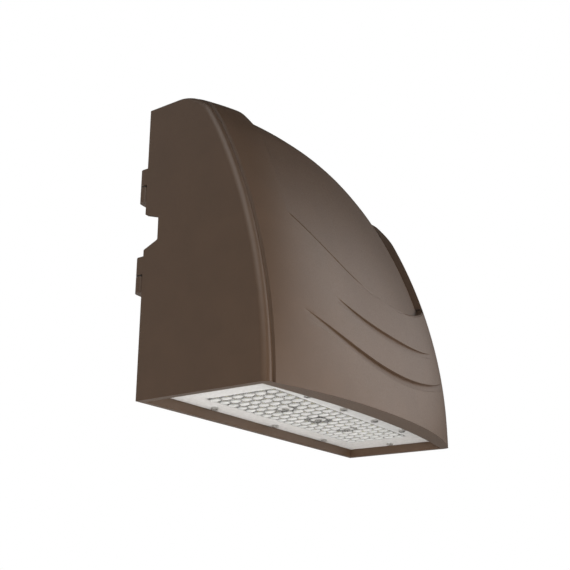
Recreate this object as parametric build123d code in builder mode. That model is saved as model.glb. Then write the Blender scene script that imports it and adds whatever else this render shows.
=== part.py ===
"""Wall pack light: a hinged cast housing over a wall box, with an LED optic panel in its underside.

Frame: +X to the right as seen from the front, +Z up, and the light's front towards -Y.
Y = 0 is the wall. X = 0 is the middle. Z = 0 is the middle of the wall box and its wire entry.
All lengths are in millimetres. "Height" below is measured up from the housing's bottom rim,
and "depth" is measured forward from the housing's back edge.
"""

import os
from math import asin, atan2, cos, exp, pi, sin, sqrt, tan

from build123d import *

os.makedirs("parts", exist_ok=True)

# ------------------------------------------------------------------ housing: outer shape
housing_width = 356.0
side_height = 251.0
side_depth = 113.5
crown = 24.5  # how far the middle of the front and top stands out past the side panels
front_radius = 537.0
nose_radius = 34.0
shell = 3.5
edge_fillet = 6.0
back_gap = 9.0  # from the wall to the housing's back edge
axis_height = 135.5  # from the rim up to the wire entry

# The outer skin is fuller than a plain arc across the width: it stands out by the lift
shoulder_lift = 7.2  # at the field's lower corners and along the shoulders
rim_lift = 1.0  # at the rim
lift_height = 45.0  # how quickly it grows from the one to the other
fade_start = 30.0  # it fades out from this far below the nose's start, along the curve
fade_end = 28.0  # to this far past it

# Recessed field in the upper front, between the two raised shoulders
field_sink = 0.4
field_nose_radius = 55.0  # the field turns over into the top more gently than the side panels
field_side_inset = 37.5  # from the side panel to the field's lower corners
field_top_inset = 42.0  # and to its sides along the top
field_corner_height = 141.0
field_middle_height = 106.0
field_bend_height = 115.0
field_bend_half_width = 65.0
field_overlap = 10.0  # how far the field's own solid runs on under the shoulders
field_underlap = 36.0  # and below the smile line's lowest point
section_count = 9  # lofted sections across the width
profile_spans = 12  # steps along the front curve of each section

# Notch in each side panel's back edge, for conduit along the wall
notch_half_height = 20.0
notch_depth = 13.5
notch_fillet = 2.0
notch_lip_high = 3.0  # the notch's top edge falls by this at its mouth
notch_slope_high = 5.0  # and by this much more at its floor
notch_lip_low = 6.0
notch_slope_low = 6.0

# ------------------------------------------------------------------ housing: light opening
side_rim = 6.0
back_rim = 4.0
opening_side_depth = 107.0
opening_middle_depth = 119.0
recess_depth = 8.0  # from the rim up to the optic panel
floor_thickness = 7.0

# Cable window in the floor, over the board's connector
window_side_inset = 22.0
window_front_inset = 23.0
window_size = 16.0
seal_flange = 2.0

# ------------------------------------------------------------------ optics and light board
panel_thickness = 3.0
panel_gap = 0.6
gasket_thickness = 1.5
gasket_inset = 1.0
gasket_width = 5.0
pocket_inset = 8.0
board_gap = 0.5
board_thickness = 1.6
pad_thickness = 0.5
led_size = 3.0
led_thickness = 0.8
led_columns = 20
led_rows = 6
led_pitch_x = 12.6
led_pitch_y = 10.5
led_middle_depth = 57.0
led_keep_out = 9.0
board_connector_size = (10.0, 10.0, 3.0)

# Screws up through the optic panel: back row, front row, middle row and one at each side
optic_back_inset = 8.0  # from the opening's back edge
optic_back_pitch = 95.0
optic_front_inset = 9.0  # from the opening's front edge at the sides
optic_front_pitch = 61.5
optic_middle_pitch = 57.0
optic_side_inset = 21.0  # from the side panel
optic_screw_radius = 1.75
optic_screw_length = 9.5
optic_head_radius = 3.2
optic_head = 1.8
optic_socket = 1.5

# Screws that hold the board
board_screw_side_inset = 33.0
board_screw_back_inset = 22.0
board_screw_front_inset = 17.0
board_screw_radius = 1.4
board_screw_length = 6.0
board_head_radius = 2.6
board_head = 1.2
board_socket = 1.2

# ------------------------------------------------------------------ wall box
box_width = 266.0
box_height = 170.0
box_depth = 30.0
box_wall = 3.5
box_back = 4.0
box_corner = 8.0
wire_entry_radius = 11.1
lag_spacing_x = 220.0
lag_spacing_z = 130.0
lag_hole_radius = 3.25
slot_spacing = 86.0
slot_length = 12.0
slot_radius = 2.6
conduit_axis_y = -11.5
conduit_radius = 10.3
conduit_pad = 12.0
conduit_pad_height = 30.0
conduit_pad_cover = 3.0  # metal left in front of the tapped hole
plug_recess = 2.0
plug_socket = 5.5
box_gasket_thickness = 2.7
box_gasket_inset = 0.3

# ------------------------------------------------------------------ hinge
hinge_inset = 4.0  # from the left side panel's face to the pin's axis
hinge_y = -4.5
knuckle_radius = 4.0
hinge_splits = (-35.0, 43.7)  # Z of the middle of each knuckle's split
door_knuckle = 15.0
box_knuckle = 13.5
knuckle_split = 1.2
pin_radius = 1.6
hinge_web_depth = 15.0

# ------------------------------------------------------------------ closure screws (right side)
closure_z = 40.0
closure_y = -17.0
tab_height = 16.0
tab_front_y = -23.0
tab_depth = 15.0
tab_clearance = 0.8
closure_slot_gap = 0.3
closure_radius = 2.5
closure_length = 16.0
closure_head_radius = 4.75
closure_head = 3.2
closure_socket = 1.8

# ------------------------------------------------------------------ wall box fittings
ground_x = 25.0
ground_z = -55.0
ground_boss_radius = 6.0
ground_boss = 7.0
ground_radius = 2.0
ground_head_radius = 5.0
ground_head = 2.8
ground_socket = 2.0
terminal_x = -45.0
terminal_z = -55.0
terminal_size = (48.0, 16.0, 22.0)
terminal_poles = 3
terminal_pitch = 15.0
terminal_step = 4.0
terminal_screw_radius = 1.7
terminal_screw_length = 6.0
terminal_head_radius = 3.0
terminal_head = 1.8
terminal_socket = 1.4
terminal_barrier = 2.5

# ------------------------------------------------------------------ gear tray and what it carries
tray_y = -33.0
tray_thickness = 1.5
tray_side_gap = 4.5
tray_floor_gap = 10.0
tray_top_gap = 16.0
tray_corner = 6.0
tray_pad = 14.0
tray_pad_depth = 18.0
tray_screw_inset = 7.5  # from the housing's inner side wall
tray_screw_low_inset = 18.0
tray_screw_high_inset = 8.0
tray_screw_radius = 2.0
tray_screw_end = 4.0  # metal left past the screw's hole
tray_head_radius = 3.8
tray_head = 2.2
hole_gap = 0.3
driver_low_x = -110.0
driver_length = 160.0
driver_height = 60.0
driver_depth = 36.0
driver_z = -25.0
driver_ear = 12.0
driver_ear_height = 30.0
driver_ear_thickness = 2.0
end_cap = 2.0
gear_screw_radius = 1.9
gear_head_radius = 3.6
gear_head = 2.4
gear_screw_end = 1.5  # how far these screws stand out behind the tray
gear_socket = 1.6
lead_radius = 2.5
surge_gap = 6.0  # between the driver's ear and the surge protector's
surge_z = -66.0
surge_size = (42.0, 26.0, 28.0)
surge_ear = 8.0
surge_ear_thickness = 2.5
grommet_inset = 28.0  # from the wall box's right side
grommet_z = 5.0
grommet_hole = 8.0
grommet_length = 8.0
grommet_flange = 2.0
connector_size = (18.0, 17.0, 12.0)
fit_gap = 0.05
seat_gap = 0.1
screw_end_gap = 0.5

# ------------------------------------------------------------------ worked out from the above
half_width = housing_width / 2
rim_z = -axis_height
crown_radius = (half_width**2 + crown**2) / (2 * crown)
floor_under = recess_depth + panel_thickness + gasket_thickness
floor_top = floor_under + floor_thickness
pocket_depth = board_thickness + pad_thickness
board_low = floor_under
board_back = board_low + board_thickness
connector_top = board_back + board_connector_size[2]
inner_half_width = half_width - shell
field_half_width = half_width - field_side_inset
field_top_half_width = half_width - field_top_inset
hinge_x = hinge_inset - half_width
tray_front_y = tray_y - tray_thickness
tray_half_width = inner_half_width - tray_side_gap
tray_low = rim_z + floor_top + tray_floor_gap
tray_high = rim_z + side_height - shell - tray_top_gap
tray_screw_x = inner_half_width - tray_screw_inset
tray_screw_spots = [
    (side * tray_screw_x, z)
    for side in (-1, 1)
    for z in (tray_low + tray_screw_low_inset, tray_high - tray_screw_high_inset)
]
driver_high_x = driver_low_x + driver_length
driver_axis_y = tray_front_y - driver_depth / 2
driver_screw_spots = [
    (driver_low_x - driver_ear / 2, driver_z),
    (driver_high_x + driver_ear / 2, driver_z),
]
surge_x = driver_high_x + driver_ear + surge_gap + surge_ear + surge_size[0] / 2
surge_screw_spots = [
    (surge_x + side * (surge_size[0] + surge_ear) / 2, surge_z) for side in (-1, 1)
]
grommet_x = box_width / 2 - grommet_inset
connector_front_y = tray_y + grommet_length / 2 + seat_gap

# Places in the light opening, as (x, depth)
back_row = back_rim + optic_back_inset
front_row = opening_side_depth - optic_front_inset
optic_screw_spots = [(i * optic_back_pitch, back_row) for i in (-1, 0, 1)]
optic_screw_spots += [(i * optic_front_pitch / 2, front_row) for i in (-3, -1, 1, 3)]
optic_screw_spots += [(i * optic_middle_pitch, led_middle_depth) for i in (-1, 0, 1)]
optic_screw_spots += [(i * (half_width - optic_side_inset), led_middle_depth) for i in (-1, 1)]
board_screw_spots = [
    (side * (half_width - board_screw_side_inset), depth)
    for side in (-1, 1)
    for depth in (back_rim + board_screw_back_inset, opening_side_depth - board_screw_front_inset)
]
window_x = window_side_inset - half_width
window_depth = opening_side_depth - window_front_inset
window_y = -back_gap - window_depth


def crown_at(x):
    """How far the front stands out past the side panels at this x."""
    return sqrt(crown_radius**2 - x**2) - (crown_radius - crown)


def side_view(depth, height):
    """A side-view point, from depth and height."""
    return (-back_gap - depth, height + rim_z)


def level(height):
    """A horizontal plane at a height above the rim."""
    return Plane.XY.offset(height + rim_z)


def facing_wall(y):
    """A plane at Y = y whose sketch has X across and Z up, and whose normal is -Y."""
    return Plane(origin=(0, y, 0), x_dir=(1, 0, 0), z_dir=(0, -1, 0))


def fullness(x):
    """How far a fourth-power curve of the same crown stands out past the plain arc at x."""
    return crown * (1 - (x / half_width) ** 4) - crown_at(x)


def lift_at(x, height, past):
    """How far the outer skin stands out past the plain arc, at x, a height and a length past the nose's start."""
    growth = shoulder_lift - (shoulder_lift - rim_lift) * exp(-height / lift_height)
    faded = min(1, max(0, (past + fade_start) / (fade_start + fade_end)))
    return growth * (1 - faded * faded * (3 - 2 * faded)) * fullness(x) / fullness(field_half_width)


def shell_section(x, inset, lifted, bottom, back, nose):
    """The housing's side profile at x: front curve, nose, flat top and back."""
    bulge = crown_at(x)
    centre_depth = side_depth + bulge - front_radius
    nose_height = side_height + bulge - nose
    nose_depth = centre_depth + sqrt((front_radius - nose) ** 2 - nose_height**2)
    nose_angle = atan2(nose_height, nose_depth - centre_depth)
    low_angle = asin(bottom / (front_radius - inset))
    front = []
    for i in range(profile_spans + 1):
        angle = low_angle + (nose_angle - low_angle) * i / profile_spans
        past = front_radius * (angle - nose_angle)
        lift = lift_at(x, front_radius * sin(angle), past) if lifted else 0
        radius = front_radius - inset + lift
        front.append(side_view(centre_depth + radius * cos(angle), radius * sin(angle)))
    half_turn = (nose_angle + pi / 2) / 2
    past = nose * (half_turn - nose_angle)
    lift = lift_at(x, nose_height, past) if lifted else 0
    round_over = nose - inset + lift
    nose_middle = side_view(
        nose_depth + round_over * cos(half_turn), nose_height + round_over * sin(half_turn)
    )
    top_front = side_view(nose_depth, nose_height + nose - inset)
    top_back = side_view(back, nose_height + nose - inset)
    with BuildSketch(Plane.YZ.offset(x)) as section:
        with BuildLine():
            Spline(*front)
            ThreePointArc(front[-1], nose_middle, top_front)
            Polyline(top_front, top_back, side_view(back, bottom), front[0])
        make_face()
    return section.sketch


def across(reach):
    """Evenly spaced x values from -reach to reach."""
    return [reach * (2 * i / (section_count - 1) - 1) for i in range(section_count)]


def opening_outline(height, inset):
    """The light opening's plan outline at a height, moved inwards by inset."""
    reach = half_width - side_rim - inset
    back_y = -back_gap - back_rim - inset
    side_y = -back_gap - opening_side_depth + inset
    middle_y = -back_gap - opening_middle_depth + inset
    with BuildSketch(level(height)) as outline:
        with BuildLine():
            ThreePointArc((-reach, side_y), (0, middle_y), (reach, side_y))
            Polyline((reach, side_y), (reach, back_y), (-reach, back_y), (-reach, side_y))
        make_face()
    return outline.sketch


def on_floor(spots, height):
    """Locations at (x, depth) spots on a level plane."""
    return [Location((x, -back_gap - depth, height + rim_z)) for x, depth in spots]


# ================================================================== housing
raised_sections = [
    shell_section(x, 0, True, 0, 0, nose_radius) for x in across(half_width)
]
field_sections = [
    shell_section(
        x, field_sink, False, field_middle_height - field_underlap, 0, field_nose_radius
    )
    for x in across(field_half_width + field_overlap)
]
hollow_sections = [
    shell_section(x, shell, False, floor_top, -shell, field_nose_radius)
    for x in across(inner_half_width)
]

with BuildSketch(facing_wall(0)) as field_outline:
    with BuildLine():
        smile = Spline(
            (-field_half_width, field_corner_height + rim_z),
            (-field_bend_half_width, field_bend_height + rim_z),
            (0, field_middle_height + rim_z),
            (field_bend_half_width, field_bend_height + rim_z),
            (field_half_width, field_corner_height + rim_z),
        )
        Polyline(
            smile @ 1,
            (field_top_half_width, side_height + rim_z - nose_radius),
            (field_top_half_width, side_height + rim_z + 2 * crown),
            (-field_top_half_width, side_height + rim_z + 2 * crown),
            (-field_top_half_width, side_height + rim_z - nose_radius),
            smile @ 0,
        )
    make_face()

with BuildSketch(Plane.YZ.offset(-half_width)) as notch_outline:
    with BuildLine():
        FilletPolyline(
            side_view(-notch_fillet, notch_half_height),
            side_view(0, notch_half_height - notch_lip_high),
            side_view(notch_depth, notch_half_height - notch_lip_high - notch_slope_high),
            side_view(notch_depth, notch_lip_low + notch_slope_low - notch_half_height),
            side_view(0, notch_lip_low - notch_half_height),
            side_view(-notch_fillet, -notch_half_height),
            radius=notch_fillet,
        )
        Line(
            side_view(-notch_fillet, -notch_half_height), side_view(-notch_fillet, notch_half_height)
        )
    make_face()

with BuildPart() as housing:
    loft(sections=raised_sections)
    side_edges = (
        housing.edges()
        .filter_by(lambda e: abs(abs(e.center().X) - half_width) < 0.01)
        .filter_by(lambda e: e.center().Y < -back_gap - 1 and e.center().Z > rim_z + 1)
    )
    fillet(side_edges, edge_fillet)
    # The recessed field: clear the raised surface above the smile line, then lay the field in
    extrude(field_outline.sketch, amount=2 * side_depth, mode=Mode.SUBTRACT)
    loft(sections=field_sections)
    loft(sections=hollow_sections, mode=Mode.SUBTRACT)
    # Light opening, and the pocket for the board above it
    extrude(opening_outline(0, 0), amount=floor_under, mode=Mode.SUBTRACT)
    extrude(opening_outline(floor_under, pocket_inset), amount=pocket_depth, mode=Mode.SUBTRACT)
    # Conduit notches in both side panels
    for notch_x in (-half_width, half_width - 2 * shell):
        with Locations(Location((notch_x + half_width, 0, axis_height))):
            add(extrude(notch_outline.sketch, amount=2 * shell, mode=Mode.PRIVATE), mode=Mode.SUBTRACT)
    # Door halves of the hinge knuckles, with a web down to the side panel
    for split_z in hinge_splits:
        low_z = split_z + knuckle_split / 2
        with Locations((hinge_x, hinge_y, low_z)):
            Cylinder(knuckle_radius, door_knuckle, align=(Align.CENTER, Align.CENTER, Align.MIN))
        with Locations((-half_width, hinge_y, low_z)):
            Box(
                2 * knuckle_radius,
                hinge_web_depth,
                door_knuckle,
                align=(Align.MIN, Align.MAX, Align.MIN),
            )
        with Locations((hinge_x, hinge_y, low_z)):
            Cylinder(
                pin_radius + fit_gap,
                door_knuckle - 1,
                align=(Align.CENTER, Align.CENTER, Align.MIN),
                mode=Mode.SUBTRACT,
            )
    # Pads on the side walls that the gear tray screws to
    for side in (-1, 1):
        for pad_z in (tray_screw_spots[0][1], tray_screw_spots[1][1]):
            with Locations((side * (inner_half_width + shell / 2), tray_front_y, pad_z)):
                Box(
                    tray_pad + shell / 2,
                    tray_pad_depth,
                    tray_pad,
                    align=(Align.MAX if side > 0 else Align.MIN, Align.MAX, Align.CENTER),
                )
    with BuildSketch(facing_wall(tray_front_y)):
        with Locations(*tray_screw_spots):
            Circle(tray_screw_radius + fit_gap)
    extrude(amount=tray_pad_depth - tray_screw_end, mode=Mode.SUBTRACT)
    # Slots in the right panel that hook over the closure screws
    with BuildSketch(Plane.YZ.offset(inner_half_width - 1)):
        with Locations((closure_y, -closure_z), (closure_y, closure_z)):
            Circle(closure_radius + closure_slot_gap)
            Rectangle(
                2 * abs(closure_y),
                2 * (closure_radius + closure_slot_gap),
                align=(Align.MIN, Align.CENTER),
            )
    extrude(amount=shell + 2, mode=Mode.SUBTRACT)
    # Screw holes up into the floor
    with Locations(*on_floor(optic_screw_spots, floor_under)):
        Cylinder(
            optic_screw_radius + fit_gap,
            optic_screw_length - panel_thickness - gasket_thickness + screw_end_gap,
            align=(Align.CENTER, Align.CENTER, Align.MIN),
            mode=Mode.SUBTRACT,
        )
    with Locations(*on_floor(board_screw_spots, floor_under)):
        Cylinder(
            board_screw_radius + fit_gap,
            board_screw_length + screw_end_gap,
            align=(Align.CENTER, Align.CENTER, Align.MIN),
            mode=Mode.SUBTRACT,
        )
    with Locations(*on_floor([(window_x, window_depth)], floor_under)):
        Box(window_size, window_size, 3 * floor_thickness, mode=Mode.SUBTRACT)

housing.part.label = "housing"
export_step(housing.part, "parts/housing.step")

# ================================================================== optics and light board
with BuildPart() as optic_panel:
    extrude(opening_outline(recess_depth, panel_gap), amount=panel_thickness)
    with Locations(*on_floor(optic_screw_spots, recess_depth)):
        Cylinder(optic_screw_radius + hole_gap, 3 * panel_thickness, mode=Mode.SUBTRACT)

optic_panel.part.label = "optic_panel"
export_step(optic_panel.part, "parts/optic_panel.step")

with BuildPart() as optic_gasket:
    gasket_low = recess_depth + panel_thickness
    extrude(opening_outline(gasket_low, gasket_inset), amount=gasket_thickness)
    extrude(
        opening_outline(gasket_low, gasket_inset + gasket_width),
        amount=gasket_thickness,
        mode=Mode.SUBTRACT,
    )

optic_gasket.part.label = "optic_gasket"
export_step(optic_gasket.part, "parts/optic_gasket.step")


def board_sheet(low, thickness):
    """A sheet in the board's pocket, with its screw holes."""
    with BuildPart() as sheet:
        extrude(opening_outline(low, pocket_inset + board_gap), amount=thickness)
        with Locations(*on_floor(optic_screw_spots, low)):
            Cylinder(optic_screw_radius + hole_gap, 3 * thickness, mode=Mode.SUBTRACT)
        with Locations(*on_floor(board_screw_spots, low)):
            Cylinder(board_screw_radius + hole_gap, 3 * thickness, mode=Mode.SUBTRACT)
    return sheet.part


with BuildPart() as led_board:
    add(board_sheet(board_low, board_thickness))

led_board.part.label = "led_board"
export_step(led_board.part, "parts/led_board.step")

with BuildPart() as thermal_pad:
    add(board_sheet(board_low + board_thickness, pad_thickness))
    with Locations(*on_floor([(window_x, window_depth)], floor_under)):
        Box(window_size, window_size, 3 * floor_thickness, mode=Mode.SUBTRACT)

thermal_pad.part.label = "thermal_pad"
export_step(thermal_pad.part, "parts/thermal_pad.step")


def led_spots():
    """Every (x, depth) place of a light source, clear of the screws."""
    spots = []
    for column in range(led_columns):
        for row in range(led_rows):
            x = (column - (led_columns - 1) / 2) * led_pitch_x
            depth = led_middle_depth + (row - (led_rows - 1) / 2) * led_pitch_y
            reach = min(sqrt((x - sx) ** 2 + (depth - sd) ** 2) for sx, sd in optic_screw_spots)
            if reach > led_keep_out:
                spots.append((x, depth))
    return spots


with BuildPart() as leds:
    with Locations(*on_floor(led_spots(), board_low)):
        Box(led_size, led_size, led_thickness, align=(Align.CENTER, Align.CENTER, Align.MAX))

leds.part.label = "leds"
export_step(leds.part, "parts/leds.step")


def floor_screws(spots, seat, head_radius, head, radius, length, socket):
    """Screws pointing up from a seat height, with hex sockets in their heads."""
    with BuildPart() as screws:
        with Locations(*on_floor(spots, seat)):
            Cylinder(head_radius, head, align=(Align.CENTER, Align.CENTER, Align.MAX))
            Cylinder(radius, length, align=(Align.CENTER, Align.CENTER, Align.MIN))
        with BuildSketch(level(seat - head)):
            with Locations(*[(x, -back_gap - depth) for x, depth in spots]):
                RegularPolygon(socket, 6)
        extrude(amount=head * 0.6, mode=Mode.SUBTRACT)
    return screws.part


with BuildPart() as optic_screws:
    add(
        floor_screws(
            optic_screw_spots,
            recess_depth,
            optic_head_radius,
            optic_head,
            optic_screw_radius,
            optic_screw_length,
            optic_socket,
        )
    )

optic_screws.part.label = "optic_screws"
export_step(optic_screws.part, "parts/optic_screws.step")

with BuildPart() as board_screws:
    add(
        floor_screws(
            board_screw_spots,
            floor_under,
            board_head_radius,
            board_head,
            board_screw_radius,
            board_screw_length,
            board_socket,
        )
    )

board_screws.part.label = "board_screws"
export_step(board_screws.part, "parts/board_screws.step")

with BuildPart() as board_connector:
    with Locations(*on_floor([(window_x, window_depth)], board_back)):
        Box(*board_connector_size, align=(Align.CENTER, Align.CENTER, Align.MIN))
    fillet(board_connector.edges().filter_by(Axis.Z), 0.8)

board_connector.part.label = "board_connector"
export_step(board_connector.part, "parts/board_connector.step")

with BuildPart() as floor_seal:
    seal_low = connector_top + seat_gap
    with Locations(*on_floor([(window_x, window_depth)], seal_low)):
        Box(
            window_size - 2 * seat_gap,
            window_size - 2 * seat_gap,
            floor_top - seal_low,
            align=(Align.CENTER, Align.CENTER, Align.MIN),
        )
    with Locations(*on_floor([(window_x, window_depth)], floor_top)):
        Box(
            window_size + 2 * seal_flange,
            window_size + 2 * seal_flange,
            seal_flange,
            align=(Align.CENTER, Align.CENTER, Align.MIN),
        )
    with Locations(*on_floor([(window_x, window_depth)], floor_top)):
        Cylinder(lead_radius + seat_gap, 4 * floor_thickness, mode=Mode.SUBTRACT)

floor_seal.part.label = "floor_seal"
export_step(floor_seal.part, "parts/floor_seal.step")

# ================================================================== wall box
with BuildPart() as wall_box:
    with BuildSketch(facing_wall(0)):
        RectangleRounded(box_width, box_height, box_corner)
    extrude(amount=box_depth)
    with BuildSketch(facing_wall(-box_back)):
        RectangleRounded(box_width - 2 * box_wall, box_height - 2 * box_wall, box_corner - box_wall)
    extrude(amount=box_depth, mode=Mode.SUBTRACT)
    # Thick pads inside the side walls, tapped for conduit
    for side in (-1, 1):
        with Locations((side * box_width / 2, 0, 0)):
            Box(
                conduit_pad,
                abs(conduit_axis_y) + conduit_radius + conduit_pad_cover,
                conduit_pad_height,
                align=(Align.MAX if side > 0 else Align.MIN, Align.MAX, Align.CENTER),
            )
    with Locations(Location((0, conduit_axis_y, 0), (0, 90, 0))):
        Cylinder(conduit_radius, 2 * box_width, mode=Mode.SUBTRACT)
    # Back wall: wire entry, lag holes and outlet-box slots
    with BuildSketch(facing_wall(1)):
        Circle(wire_entry_radius)
        with GridLocations(lag_spacing_x, lag_spacing_z, 2, 2):
            Circle(lag_hole_radius)
        with GridLocations(slot_spacing, 0, 2, 1):
            SlotOverall(slot_length, 2 * slot_radius)
    extrude(amount=box_back + 2, mode=Mode.SUBTRACT)
    # Hinge arms: the box halves of the knuckles, on arms from the box's left side
    for split_z in hinge_splits:
        high_z = split_z - knuckle_split / 2
        with Locations((hinge_x, hinge_y, high_z)):
            Cylinder(knuckle_radius, box_knuckle, align=(Align.CENTER, Align.CENTER, Align.MAX))
            Box(
                abs(hinge_x) - box_width / 2 + box_wall,
                2 * knuckle_radius,
                box_knuckle,
                align=(Align.MIN, Align.CENTER, Align.MAX),
            )
            Cylinder(
                pin_radius,
                box_knuckle - 1,
                align=(Align.CENTER, Align.CENTER, Align.MAX),
                mode=Mode.SUBTRACT,
            )
    # Tabs on the right side, tapped for the closure screws
    tab_end = inner_half_width - tab_clearance
    for tab_z in (-closure_z, closure_z):
        with Locations((box_width / 2 - box_wall, tab_front_y, tab_z)):
            Box(
                tab_end - box_width / 2 + box_wall,
                tab_depth,
                tab_height,
                align=(Align.MIN, Align.MIN, Align.CENTER),
            )
        with Locations(Location((tab_end, closure_y, tab_z), (0, 90, 0))):
            Cylinder(
                closure_radius,
                closure_length + tab_clearance,
                align=(Align.CENTER, Align.CENTER, Align.MAX),
                mode=Mode.SUBTRACT,
            )
    # Boss for the ground screw
    with Locations(Location((ground_x, -box_back, ground_z), (90, 0, 0))):
        Cylinder(ground_boss_radius, ground_boss, align=(Align.CENTER, Align.CENTER, Align.MIN))
        Cylinder(
            ground_radius + fit_gap,
            ground_boss,
            align=(Align.CENTER, Align.CENTER, Align.MIN),
            mode=Mode.SUBTRACT,
        )

wall_box.part.label = "wall_box"
export_step(wall_box.part, "parts/wall_box.step")

with BuildPart() as box_gasket:
    with BuildSketch(facing_wall(-box_depth)):
        for inset, mode in (
            (box_gasket_inset, Mode.ADD),
            (box_wall - box_gasket_inset, Mode.SUBTRACT),
        ):
            RectangleRounded(
                box_width - 2 * inset, box_height - 2 * inset, box_corner - inset, mode=mode
            )
    extrude(amount=box_gasket_thickness)

box_gasket.part.label = "box_gasket"
export_step(box_gasket.part, "parts/box_gasket.step")

with BuildPart() as hinge_pins:
    for split_z in hinge_splits:
        with Locations((hinge_x, hinge_y, split_z - knuckle_split / 2 - box_knuckle + 1)):
            Cylinder(
                pin_radius,
                box_knuckle + knuckle_split + door_knuckle - 3,
                align=(Align.CENTER, Align.CENTER, Align.MIN),
            )

hinge_pins.part.label = "hinge_pins"
export_step(hinge_pins.part, "parts/hinge_pins.step")

with BuildPart() as hinge_washers:
    for split_z in hinge_splits:
        with Locations((hinge_x, hinge_y, split_z - knuckle_split / 2)):
            Cylinder(
                knuckle_radius - hole_gap,
                knuckle_split - 2 * fit_gap,
                align=(Align.CENTER, Align.CENTER, Align.MIN),
            )
            Cylinder(pin_radius + fit_gap, 4 * knuckle_split, mode=Mode.SUBTRACT)

hinge_washers.part.label = "hinge_washers"
export_step(hinge_washers.part, "parts/hinge_washers.step")

with BuildPart() as conduit_plugs:
    plug_length = conduit_pad - plug_recess
    for side in (-1, 1):
        with Locations(Location((side * box_width / 2, conduit_axis_y, 0), (0, side * 90, 0))):
            Cylinder(
                conduit_radius - fit_gap,
                plug_length,
                align=(Align.CENTER, Align.CENTER, Align.MAX),
            )
        with BuildSketch(Plane.YZ.offset(side * box_width / 2)):
            with Locations((conduit_axis_y, 0)):
                RegularPolygon(plug_socket, 6)
        extrude(amount=-side * plug_length / 2, mode=Mode.SUBTRACT)

conduit_plugs.part.label = "conduit_plugs"
export_step(conduit_plugs.part, "parts/conduit_plugs.step")


def screw_from_wall(head_radius, head, radius, length, socket):
    """A screw at the origin with its head towards -Y and its shank towards +Y."""
    with BuildPart() as screw:
        with Locations(Location((0, 0, 0), (90, 0, 0))):
            Cylinder(head_radius, head, align=(Align.CENTER, Align.CENTER, Align.MIN))
            Cylinder(radius, length, align=(Align.CENTER, Align.CENTER, Align.MAX))
        with BuildSketch(facing_wall(-head)):
            RegularPolygon(socket, 6)
        extrude(amount=-head * 0.6, mode=Mode.SUBTRACT)
    return screw.part


with BuildPart() as terminal_block:
    with Locations((terminal_x, -box_back, terminal_z)):
        Box(*terminal_size, align=(Align.CENTER, Align.MAX, Align.CENTER))
    fillet(terminal_block.edges().filter_by(Axis.Y), 1.5)
    # Barriers between the poles
    with Locations((terminal_x, -box_back - terminal_size[1], terminal_z)):
        with GridLocations(terminal_pitch, 0, terminal_poles, 1):
            Box(
                terminal_pitch - terminal_barrier,
                2 * terminal_step,
                terminal_size[2] - terminal_barrier,
                mode=Mode.SUBTRACT,
            )
    with BuildSketch(facing_wall(-box_back - terminal_size[1] + terminal_step)):
        with Locations((terminal_x, terminal_z)):
            with GridLocations(terminal_pitch, terminal_size[2] / 2, terminal_poles, 2):
                Circle(terminal_screw_radius + fit_gap)
    extrude(amount=-terminal_screw_length, mode=Mode.SUBTRACT)

terminal_block.part.label = "terminal_block"
export_step(terminal_block.part, "parts/terminal_block.step")

with BuildPart() as terminal_screws:
    terminal_screw = screw_from_wall(
        terminal_head_radius,
        terminal_head,
        terminal_screw_radius,
        terminal_screw_length - screw_end_gap,
        terminal_socket,
    )
    with Locations((terminal_x, -box_back - terminal_size[1] + terminal_step, terminal_z)):
        with Locations(
            *[
                ((pole - (terminal_poles - 1) / 2) * terminal_pitch, 0, row * terminal_size[2] / 4)
                for pole in range(terminal_poles)
                for row in (-1, 1)
            ]
        ):
            add(terminal_screw)

terminal_screws.part.label = "terminal_screws"
export_step(terminal_screws.part, "parts/terminal_screws.step")

with BuildPart() as ground_screw:
    with Locations((ground_x, -box_back - ground_boss, ground_z)):
        add(
            screw_from_wall(
                ground_head_radius,
                ground_head,
                ground_radius,
                ground_boss - screw_end_gap,
                ground_socket,
            )
        )

ground_screw.part.label = "ground_screw"
export_step(ground_screw.part, "parts/ground_screw.step")


def closure_screw(z):
    """A button-head screw along X at this Z, through the right panel's slot."""
    head_x = half_width + 2 * seat_gap
    with BuildPart() as screw:
        with Locations(Location((head_x, closure_y, z), (0, 90, 0))):
            Cylinder(closure_head_radius, closure_head, align=(Align.CENTER, Align.CENTER, Align.MIN))
            Cylinder(
                closure_radius - fit_gap,
                closure_length,
                align=(Align.CENTER, Align.CENTER, Align.MAX),
            )
        rim = screw.edges().group_by(Axis.X)[-1]
        fillet(rim, closure_head * 0.6)
        with BuildSketch(Plane.YZ.offset(head_x + closure_head)):
            with Locations((closure_y, z)):
                RegularPolygon(closure_socket, 6)
        extrude(amount=-closure_head * 0.6, mode=Mode.SUBTRACT)
    return screw.part


with BuildPart() as upper_closure_screw:
    add(closure_screw(closure_z))

upper_closure_screw.part.label = "upper_closure_screw"
export_step(upper_closure_screw.part, "parts/upper_closure_screw.step")

with BuildPart() as lower_closure_screw:
    add(closure_screw(-closure_z))

lower_closure_screw.part.label = "lower_closure_screw"
export_step(lower_closure_screw.part, "parts/lower_closure_screw.step")

# ================================================================== gear tray
with BuildPart() as gear_tray:
    with BuildSketch(facing_wall(tray_y)):
        with Locations((0, (tray_low + tray_high) / 2)):
            RectangleRounded(2 * tray_half_width, tray_high - tray_low, tray_corner)
        with Locations(*tray_screw_spots):
            Circle(tray_screw_radius + hole_gap, mode=Mode.SUBTRACT)
        with Locations(*driver_screw_spots, *surge_screw_spots):
            Circle(gear_screw_radius + fit_gap, mode=Mode.SUBTRACT)
        with Locations((grommet_x, grommet_z)):
            Circle(grommet_hole, mode=Mode.SUBTRACT)
    extrude(amount=tray_thickness)

gear_tray.part.label = "gear_tray"
export_step(gear_tray.part, "parts/gear_tray.step")

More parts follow.
